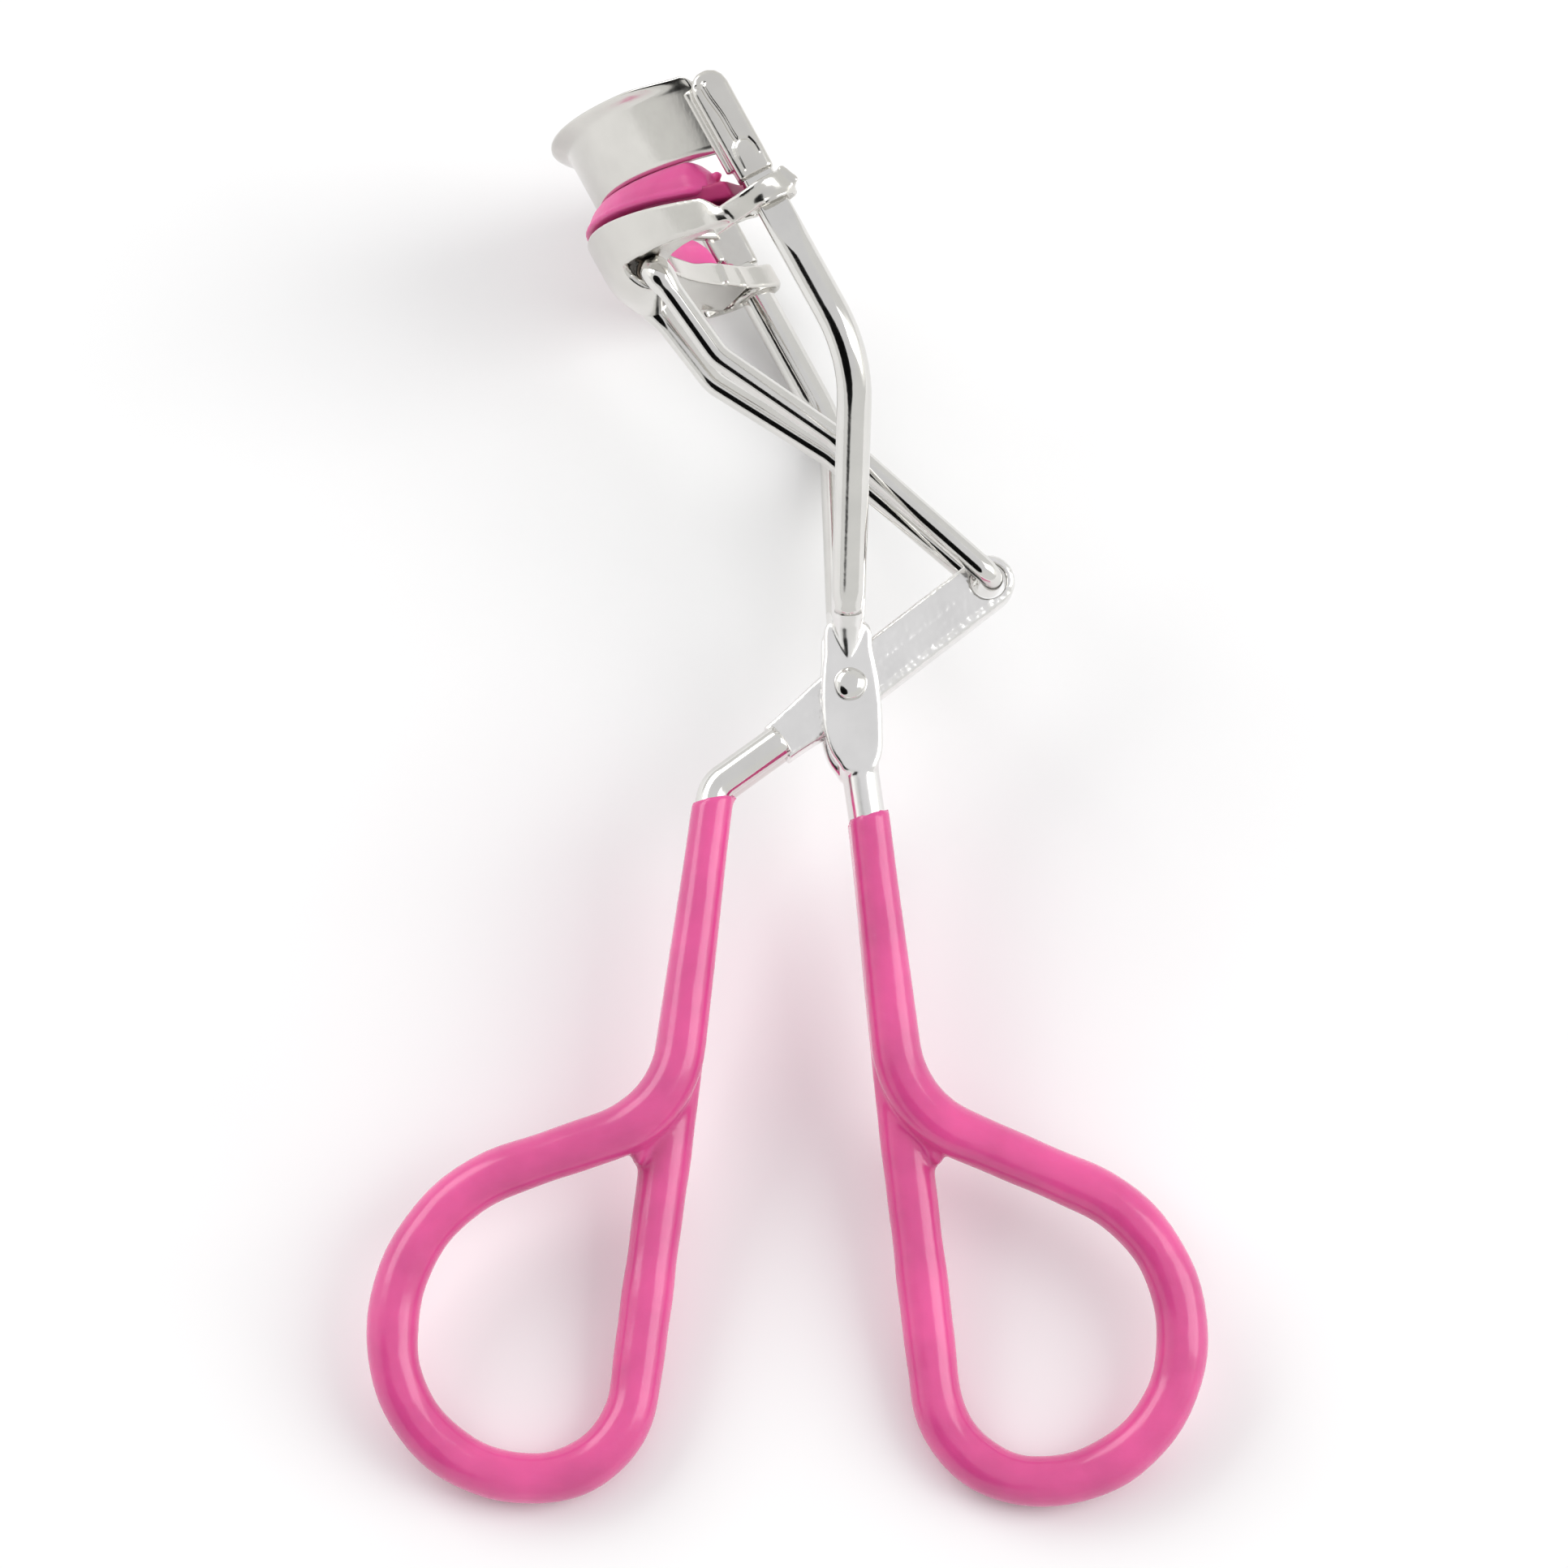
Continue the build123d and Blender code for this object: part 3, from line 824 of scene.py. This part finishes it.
def tongue_shell():
    """Sheet that carries on from the outer wall down and round under the hinge barrel."""
    middle = [
        (10.95, 0, 13.9), (10.9, 0, 12.9), (10.5, 0, 11.9), (9.8, 0, 11.1), (9.05, 0, 10.7), (8.35, 0, 10.6),
    ]
    line = smooth_line(middle, 24)
    rings = []
    tangent = unit(np.gradient(line, axis=0))
    for p, t in zip(line, tangent):
        side = np.array([t[2], 0, -t[0]]) * 0.3
        half = 4.45 + 1.6 * smoothstep(p[2], 12.0, 14.2)
        corners = []
        follow = 0.25 + 0.75 * smoothstep(p[2], 10.5, 12.2)
        for face, sweep_u in ((side, np.linspace(-1, 1, 21)), (-side, np.linspace(1, -1, 21))):
            for u in sweep_u:
                back = 18.0 - math.sqrt(18.0**2 - (u * half) ** 2)
                corners.append(p + face + (-back * follow, u * half, 0))
        corners = np.array(corners)
        rings.append(head_points(*corners.T))
    return loft(rings)


def barrel_shell():
    path = np.array([head_points(8.5, z, 11.75) for z in np.linspace(-4.4, 4.4, 12)])
    return sweep(path, lambda i: round_outline(1.24, 36))


def axis_cutter(front, height, radius, reach):
    path = np.array([head_points(front, z, height) for z in np.linspace(-reach, reach, 4)])
    return sweep(path, lambda i: round_outline(radius, 32))


def rail_cutter(sign):
    path = np.array([head_points(0, sign * RAIL_GAP, s) for s in np.linspace(5, 16, 4)])
    return sweep(path, lambda i: round_outline(1.38, 40))


def make_lower_jaw():
    collar = collar_shells()
    shells = [swept_profile(56, channel_profile, 90), tongue_shell()]
    shells += collar + [mirrored(s) for s in collar]
    bore = axis_cutter(8.5, 11.75, 0.96, 6.0)
    jaw = fused(shells, 0.11, 5, [bore, rail_cutter(1), rail_cutter(-1)])
    make_object("lower_jaw_sheet", *jaw, "jaw", sheet_metal, "nickel_sheet", ["lower_jaw"])
    barrel = fused([barrel_shell()], 0.09, 4, [bore])
    # The hinge barrel gets the near-black nickel, painted shade for its shadowed face.
    make_object("lower_jaw_barrel", *barrel, "jaw", shade_painted_metal, "nickel_sheet", ["lower_jaw"])


def make_pad():
    """Silicone pad: mushroom head over the channel's walls, with rounded ends and a stem between them."""
    half = 53.2

    def profile(angle):
        a = math.degrees(abs(angle))
        ends = math.sqrt(max(1 - smoothstep(a, half - 4.2, half + 0.3), 0.03))
        points = []
        shape = (
            (14.0, 12.0), (13.98, 12.9), (14.15, 13.6), (14.7, 14.35), (15.3, 14.72), (15.95, 14.82),
            (16.5, 14.7),
            (17.1, 14.2), (17.6, 13.4), (17.8, 12.5), (17.82, 12.05), (18.02, 11.9), (18.02, 11.4),
            (17.3, 11.2), (16.0, 11.1),
            (14.6, 11.15), (14.05, 11.4),
        )
        for radius, height in shape:
            radius = 16.0 + (radius - 16.0) * (0.45 + 0.55 * ends)
            height = 12.4 + (height - 12.4) * (0.35 + 0.65 * ends)
            front = JAW_CENTRE + radius * math.cos(angle)
            top = JAW_SLOPE * front
            base = WALL_TOP_SLOPE * front - 0.15
            mix = smoothstep(height, 11.2, 14.0)
            points.append((front, radius * math.sin(angle), height + base * (1 - mix) + top * mix))
        return np.array(points)

    def stem(angle):
        points = []
        for radius, height in ((14.45, 11.1), (17.45, 11.0), (17.45, 12.4), (14.45, 12.4)):
            front = JAW_CENTRE + radius * math.cos(angle)
            points.append((front, radius * math.sin(angle), height + JAW_SLOPE * front))
        return np.array(points)

    tip = head_tube([(2.9, 12.2, 13.7), (2.35, 12.5, 14.0), (2.05, 12.65, 14.25)], 0.32, (0.2, 0.15))
    pad = fused([swept_profile(half, profile, 100), tip, mirrored(tip)], 0.12, 6)
    make_object("lash_pad_skin", *pad, "jaw", silicone, "pink_silicone", ["lash_pad"])
    core = fused([swept_profile(58, stem, 80)], 0.13, 16)
    # The stem gets the darker pink: painted shade.
    make_object("lash_pad_stem", *core, "jaw", shade_painted_stem_silicone, "pink_silicone", ["lash_pad"])


# ---------------------------------------------------------------- pusher and rivet


def make_pusher():
    """Link wire whose ends turn into the barrel and whose bend lies in the lever's hole."""
    hole = bar_axes(HOLE_DISTANCE, 0.0)
    end = (hole[0] + 0.2, hole[1] + 0.1)
    top = head_points(8.5, 0.0, 11.75)
    near = [
        (top[0], top[1], 0.8), (top[0], top[1], 5.6), (-9.74, 23.85, 4.6), (-1.2, 18.2, 3.4), (*end, 2.45),
    ]
    far = [(x, y, -z) for x, y, z in near[::-1]]
    bends = [0.95, 3.0, 3.4, 1.2]
    path = bent_path(near + far, bends + bends[::-1], 0.35)
    from_barrel = np.hypot(path[:, 0] - top[0], path[:, 1] - top[1])

    def outline(i):
        knob = smoothstep(abs(path[i][2]), 4.5, 5.1) * (1 - smoothstep(from_barrel[i], 0.7, 2.4))
        return round_outline(PUSHER + 0.26 * knob)

    wire = sweep(path, outline, None, (0.1, 0.1))
    make_object("pusher_link", *wire, "pusher", wire_metal, "nickel_wire", ["pusher_wire"])


def make_rivet():
    """Shank and two domed heads, the dome a little uneven from the hammer."""
    rings = []
    for radius, z in (
        (0.8, 2.6), (1.18, 2.8), (1.22, 2.92), (1.17, 3.12),
        (1.02, 3.3), (0.8, 3.43), (0.5, 3.52), (0.18, 3.55),
    ):
        a = np.linspace(0, 2 * math.pi, 48, endpoint=False)
        wobble = 1 + 0.02 * np.sin(3 * a + 1) + 0.012 * np.sin(5 * a)
        rings.append(np.stack([radius * wobble * np.cos(a), radius * wobble * np.sin(a), np.full(48, z)], -1))
    dome = loft(rings)
    shank = slab(round_outline(0.8, 40), -2.8, 2.8)
    verts, faces = join_shells([dome, mirrored(dome), shank])
    make_object("rivet", verts, faces, "frame", wire_metal, "nickel_wire", ["pivot_rivet"])


make_frame()
make_lever()
make_grips()
make_upper_jaw()
make_lower_jaw()
make_pad()
make_pusher()
make_rivet()


# ---------------------------------------------------------------- floor, light and camera


def make_floor():
    n = Nodes("studio_floor_finish")
    pale = n.ramp(n.noise(30, 2, 0.5), [(0.3, (0.90, 0.90, 0.90)), (0.7, (0.93, 0.93, 0.93))])
    n.link(pale, n.shader.inputs["Base Color"])
    n.shader.inputs["Roughness"].default_value = 0.7
    n.shader.inputs["Specular IOR Level"].default_value = 0.2
    mesh = bpy.data.meshes.new("studio_floor")
    half = 1.5
    corners = [(-half, -half, 0), (half, -half, 0), (half, half, 0), (-half, half, 0)]
    mesh.from_pydata(corners, [], [(0, 1, 2, 3)])
    mesh.materials.append(n.material)
    floor = bpy.data.objects.new("studio_floor", mesh)
    bpy.context.scene.collection.objects.link(floor)


def soft_light(name, position, size, power):
    """Large area light aimed at the middle of the object's footprint."""
    data = bpy.data.lights.new(name, "AREA")
    data.shape = "RECTANGLE"
    data.size, data.size_y = size
    data.energy = power
    light = bpy.data.objects.new(name, data)
    bpy.context.scene.collection.objects.link(light)
    light.location = position
    direction = -np.array(position, float)
    light.rotation_mode = "QUATERNION"
    light.rotation_quaternion = Vector(direction).to_track_quat("-Z", "Y")


def camera_axes():
    """Right, up and back of the photograph's camera, in the tool's axes."""
    tilt, turn = math.radians(8.8), math.radians(2.3)
    right = np.array([math.cos(turn), 0.0, math.sin(turn)])
    up_z = math.sin(tilt)
    up_x = -math.tan(turn) * up_z
    up = np.array([up_x, math.sqrt(1 - up_z**2 - up_x**2), up_z])
    return right, up, np.cross(right, up)


def make_world():
    """Pale studio surround: grey overhead, brighter round the sides, and a dark card low on the left."""
    world = bpy.data.worlds.new("studio")
    bpy.context.scene.world = world
    world.use_nodes = True
    tree = world.node_tree
    background = tree.nodes["Background"]
    coords = tree.nodes.new("ShaderNodeTexCoord").outputs["Generated"]
    right, up, back = [v @ tool_axes for v in camera_axes()]

    def patch(value, across, above, radius, soft, level):
        """Blends level into value inside a round patch, placed by its angles from overhead."""
        angle = math.radians(math.hypot(across, above))
        aside = unit(right * across + up * above + 1e-9 * right)
        direction = back * math.cos(angle) + aside * math.sin(angle)
        dot = tree.nodes.new("ShaderNodeVectorMath")
        dot.operation = "DOT_PRODUCT"
        tree.links.new(coords, dot.inputs[0])
        dot.inputs[1].default_value = tuple(direction)
        edge = tree.nodes.new("ShaderNodeMapRange")
        edge.interpolation_type = "SMOOTHSTEP"
        edge.inputs["From Min"].default_value = math.cos(math.radians(radius + soft))
        edge.inputs["From Max"].default_value = math.cos(math.radians(max(radius - soft, 0)))
        tree.links.new(dot.outputs["Value"], edge.inputs["Value"])
        mix = tree.nodes.new("ShaderNodeMix")
        mix.data_type = "RGBA"
        tree.links.new(edge.outputs["Result"], mix.inputs["Factor"])
        tree.links.new(value, mix.inputs["A"])
        mix.inputs["B"].default_value = (*level, 1)
        return mix.outputs["Result"]

    base = tree.nodes.new("ShaderNodeRGB")
    base.outputs[0].default_value = (0.80, 0.80, 0.79, 1)
    colour = patch(base.outputs[0], 0, 10, 38, 10, (0.78, 0.78, 0.795))
    colour = patch(colour, 70, 10, 22, 6, (1.25, 1.25, 1.22))
    colour = patch(colour, -78, 12, 16, 5, (1.2, 1.2, 1.18))
    colour = patch(colour, -31, -22, 25, 1.5, (0.004, 0.004, 0.004))
    tree.links.new(colour, background.inputs["Color"])
    background.inputs["Strength"].default_value = 1.0


def make_camera():
    """Camera at the photograph's viewing angle, half a metre above the tool."""
    right, up, back = camera_axes()
    target = np.array([-4.72, -6.957, 0.0])
    place = to_row(target + 500.0 * back)
    axes = [tuple(v @ tool_axes) for v in (right, up, back)]
    matrix = Matrix((
        (axes[0][0], axes[1][0], axes[2][0], place[0]),
        (axes[0][1], axes[1][1], axes[2][1], place[1]),
        (axes[0][2], axes[1][2], axes[2][2], place[2]),
        (0, 0, 0, 1),
    ))
    data = bpy.data.cameras.new("camera")
    data.lens = 157.46
    data.sensor_width = 36.0
    data.clip_start = 0.01
    camera = bpy.data.objects.new("camera", data)
    camera.matrix_world = matrix
    bpy.context.scene.collection.objects.link(camera)
    bpy.context.scene.camera = camera


make_floor()
make_world()
soft_light("key_light", (-0.75, 0.5, 0.65), (0.9, 0.6), 4.6)
soft_light("fill_light", (0.8, 0.0, 0.7), (0.6, 0.9), 4.2)
make_camera()
bpy.context.scene.view_settings.view_transform = "Standard"
